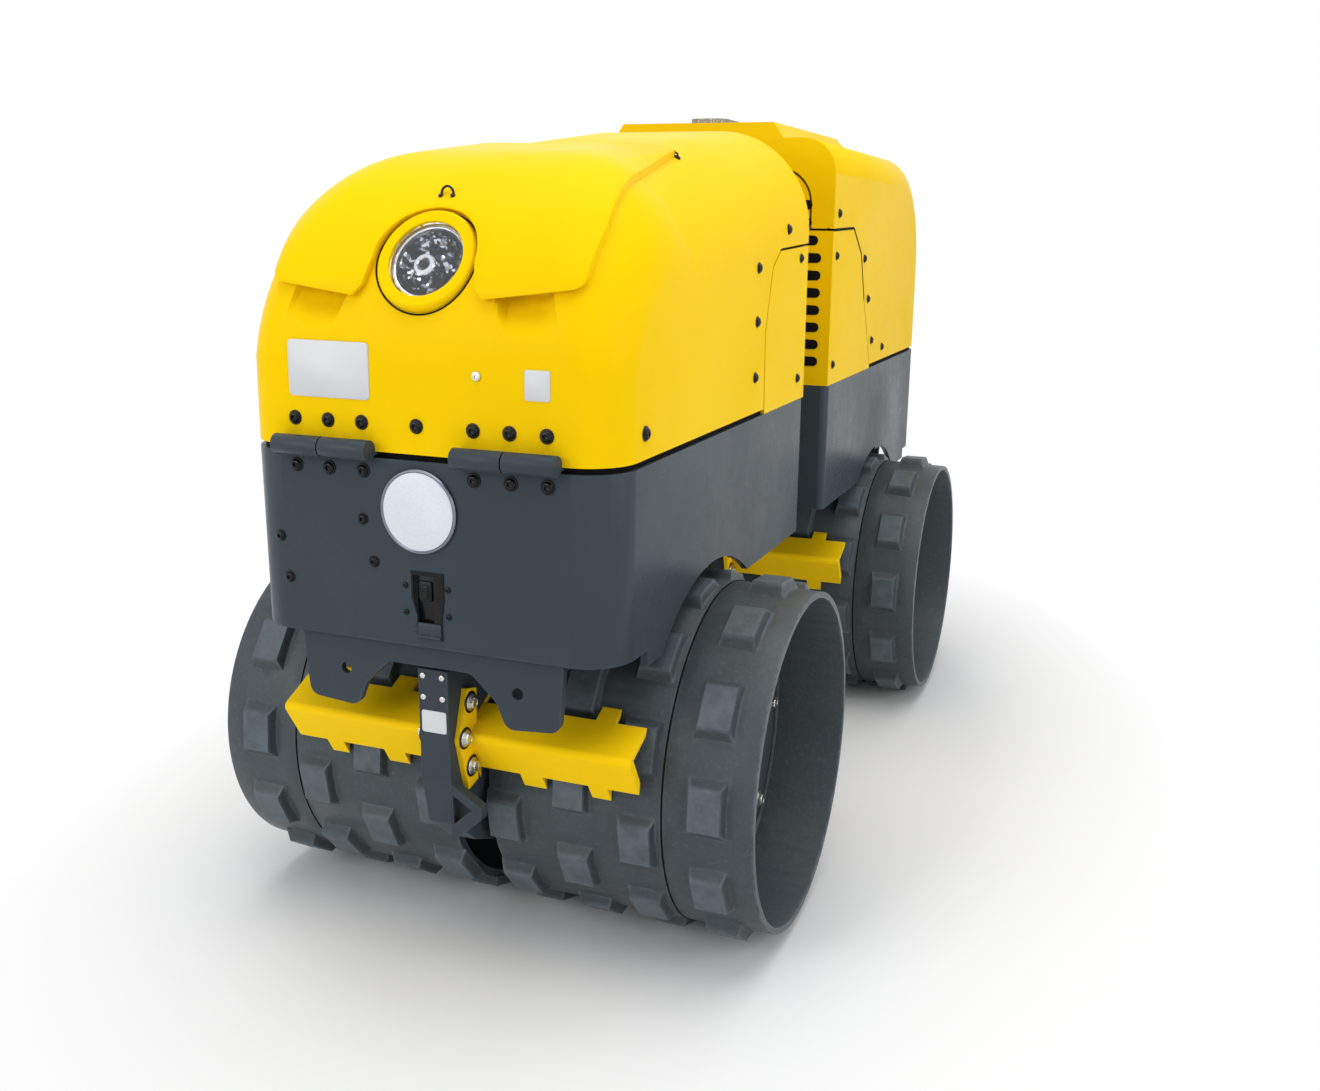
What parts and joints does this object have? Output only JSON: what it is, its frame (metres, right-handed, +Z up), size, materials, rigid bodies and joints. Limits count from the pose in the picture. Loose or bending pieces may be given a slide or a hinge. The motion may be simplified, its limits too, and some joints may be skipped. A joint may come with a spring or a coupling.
{
  "type": "trench roller",
  "caption": "Articulated trench roller with padded twin drums, extension rings, scrapers, hinged yellow hoods and a single round headlamp.",
  "frame": {"origin": "on the ground, below the middle of the whole machine's box", "axes": "+X to the machine's left as it drives, the side that the picture shows; -Y towards the front end with the lamp; +Z up"},
  "size_m": [0.82, 1.901, 1.2039],
  "materials": {
    "yellow_paint": "satin",
    "amber_paint": "satin",
    "grey_paint": "satin",
    "drum_paint": "matte",
    "bare_steel": "satin",
    "chrome_rod": "polished",
    "mirror_bowl": "polished",
    "clear_lens": "polished",
    "engine_iron": "matte",
    "receiver_plastic": "matte"
  },
  "bodies": {
    "front_half": {"front_frame": "grey_paint", "front_cross_plate": "grey_paint", "front_drum_support": "grey_paint", "front_outer_scraper_left": "amber_paint", "front_outer_scraper_right": "amber_paint", "front_inner_scraper_left": "amber_paint", "front_inner_scraper_right": "amber_paint", "steering_fork": "grey_paint", "steering_pivot_pin": "bare_steel", "front_bulkhead": "yellow_paint"},
    "front_hood_body": {"front_hood": "yellow_paint", "front_hood_lid": "yellow_paint", "headlamp_bezel": "yellow_paint", "headlamp_bowl": "mirror_bowl", "headlamp_lens": "clear_lens", "front_hood_hinge_left": "grey_paint", "front_hood_hinge_right": "grey_paint"},
    "front_drums": {"front_axle": "bare_steel", "front_drum_left": "drum_paint", "front_drum_right": "drum_paint", "front_drum_ring_left": "drum_paint", "front_drum_ring_right": "drum_paint"},
    "swivel": {"swivel_housing": "grey_paint"},
    "steering_barrel": {"steering_cylinder_barrel": "grey_paint"},
    "steering_rod": {"steering_cylinder_rod": "chrome_rod"},
    "rear_half": {"rear_frame": "grey_paint", "rear_cross_plate": "grey_paint", "rear_drum_support": "grey_paint", "rear_outer_scraper_left": "amber_paint", "rear_outer_scraper_right": "amber_paint", "rear_inner_scraper_left": "amber_paint", "rear_inner_scraper_right": "amber_paint", "oscillation_shaft": "bare_steel", "rear_vent_bulkhead": "yellow_paint", "engine_block": "engine_iron"},
    "rear_hood_body": {"rear_hood": "yellow_paint", "signal_receiver": "receiver_plastic", "rear_hood_hinge_left": "grey_paint", "rear_hood_hinge_right": "grey_paint"},
    "rear_drums": {"rear_axle": "bare_steel", "rear_drum_left": "drum_paint", "rear_drum_right": "drum_paint", "rear_drum_ring_left": "drum_paint", "rear_drum_ring_right": "drum_paint"}
  },
  "joints": [
    {"name": "steer", "type": "hinge", "parent": "front_half", "child": "swivel", "pos_m": [0, -0.0365, 0.581], "axis": [0, 0, 1], "range_deg": [-30, 30]},
    {"name": "oscillate", "type": "hinge", "parent": "swivel", "child": "rear_half", "pos_m": [0, -0.0365, 0.581], "axis": [0, 1, 0], "range_deg": [-8, 8]},
    {"name": "front_drums_roll", "type": "hinge", "parent": "front_half", "child": "front_drums", "pos_m": [0, -0.5765, 0.262], "axis": [1, 0, 0], "continuous": true},
    {"name": "rear_drums_roll", "type": "hinge", "parent": "rear_half", "child": "rear_drums", "pos_m": [0, 0.5035, 0.262], "axis": [1, 0, 0], "continuous": true},
    {"name": "front_hood_lift", "type": "hinge", "parent": "front_half", "child": "front_hood_body", "pos_m": [0, -0.9375, 0.737], "axis": [1, 0, 0], "range_deg": [0, 80]},
    {"name": "rear_hood_lift", "type": "hinge", "parent": "rear_half", "child": "rear_hood_body", "pos_m": [0, 0.9375, 0.737], "axis": [-1, 0, 0], "range_deg": [0, 80]},
    {"name": "cylinder_swing", "type": "hinge", "parent": "front_half", "child": "steering_barrel", "pos_m": [0.09, -0.3665, 0.6], "axis": [0, 0, 1], "range_deg": [-4, 4]},
    {"name": "rod_slide", "type": "slide", "parent": "steering_barrel", "child": "steering_rod", "axis": [-0.0056, 1, 0], "range_m": [-0.055, 0.055]}
  ],
  "couplings": [
    {"joint": "cylinder_swing", "follows": "steer", "ratio": 0.075},
    {"joint": "rod_slide", "follows": "steer", "m_per_rad": 0.085}
  ]
}
